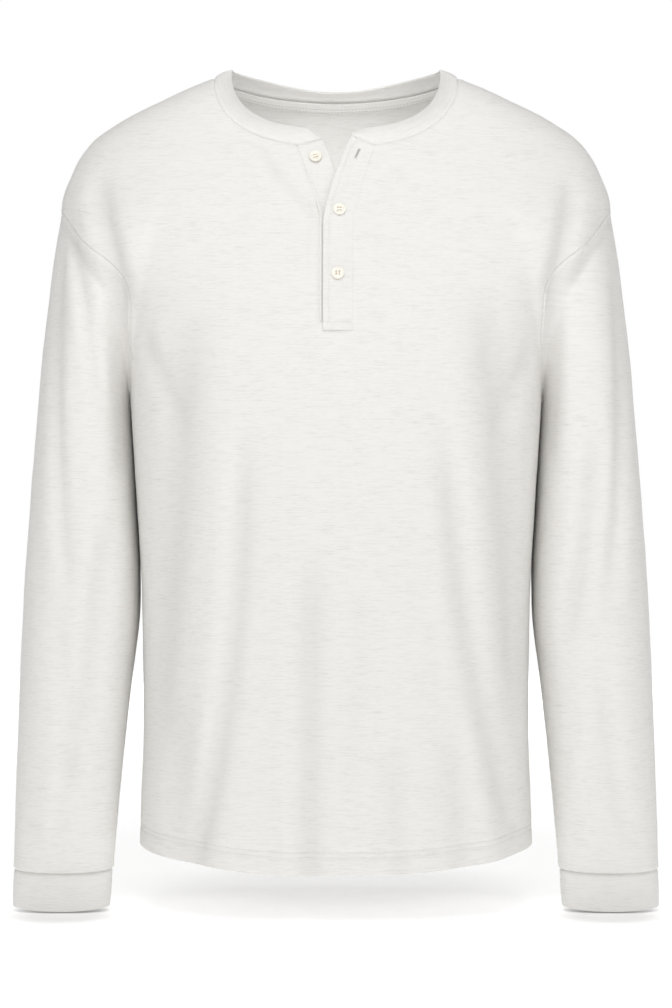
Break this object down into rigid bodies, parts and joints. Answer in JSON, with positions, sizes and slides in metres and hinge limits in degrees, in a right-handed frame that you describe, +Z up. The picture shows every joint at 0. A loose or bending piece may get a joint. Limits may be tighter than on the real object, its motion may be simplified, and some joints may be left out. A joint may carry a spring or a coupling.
{
  "type": "henley shirt",
  "caption": "Long-sleeved jersey henley shirt with a collarless band, a short buttoned placket and plain cuffs, filled out as worn.",
  "frame": {"origin": "the middle of the neck opening, level with the top of the neckband at the high points of the shoulders, where the wearer's shoulders carry the shirt", "axes": "+Z up, the front faces -Y, +X towards the wearer's left arm"},
  "size_m": [0.5848, 0.2508, 0.7644],
  "materials": {
    "jersey": "oatmeal heather single jersey, matt with a soft nap",
    "band_jersey": "the same heather jersey, folded double",
    "neck_tape": "the same heather jersey, a stitched strip",
    "button": "cream resin, satin"
  },
  "bodies": {
    "root": {"front": "jersey", "back": "jersey", "sleeve_left": "jersey", "sleeve_right": "jersey", "cuff_left": "band_jersey", "cuff_right": "band_jersey", "neckband": "band_jersey", "neck_tape": "neck_tape", "placket_upper": "band_jersey", "placket_under": "band_jersey", "button_top": "button", "button_middle": "button", "button_bottom": "button"}
  },
  "joints": []
}
